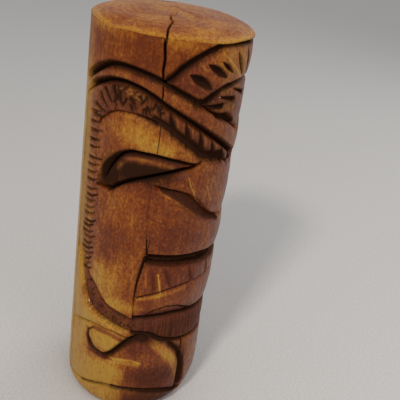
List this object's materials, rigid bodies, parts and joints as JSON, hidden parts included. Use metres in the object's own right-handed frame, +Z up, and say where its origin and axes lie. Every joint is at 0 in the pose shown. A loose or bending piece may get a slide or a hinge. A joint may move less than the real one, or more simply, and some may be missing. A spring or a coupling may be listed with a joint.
{
  "type": "tiki figure",
  "caption": "Round log carved in low relief with a stacked face under an arched brow, folded arms and short legs, standing on its flat base.",
  "frame": {"origin": "centre of the base, on the surface that it stands on", "axes": "+Z up along the log; the face looks along -Y; the figure's right hand is towards -X"},
  "size_m": [0.08, 0.08, 0.228],
  "materials": {
    "red_stain": "stained reddish brown under gloss varnish",
    "dark_stain": "dark brown stain under gloss varnish",
    "plum_stain": "purplish brown stain under satin varnish",
    "amber_wood": "orange-brown wood under gloss varnish",
    "pale_wood": "yellow sapwood under gloss varnish",
    "end_grain": "orange-tan wood with an end-grain top under gloss varnish"
  },
  "bodies": {
    "root": {"heart": "red_stain", "crown": "end_grain", "crest": "red_stain", "forehead_boss": "dark_stain", "brow_band_right": "red_stain", "brow_band_left": "red_stain", "fringe_right": "dark_stain", "fringe_left": "dark_stain", "side_border_right": "dark_stain", "side_border_left": "dark_stain", "eyelid_right": "amber_wood", "eyelid_left": "amber_wood", "eye_right": "dark_stain", "eye_left": "dark_stain", "cheek_right": "red_stain", "cheek_left": "red_stain", "nose": "red_stain", "upper_lip": "red_stain", "tongue": "dark_stain", "lower_lip": "red_stain", "chin_band": "plum_stain", "arm_right": "amber_wood", "arm_left": "amber_wood", "hand_right": "pale_wood", "hand_left": "pale_wood", "leg_right": "red_stain", "leg_left": "red_stain", "loin_panel": "red_stain", "base": "amber_wood", "back_panel": "pale_wood"}
  },
  "joints": []
}
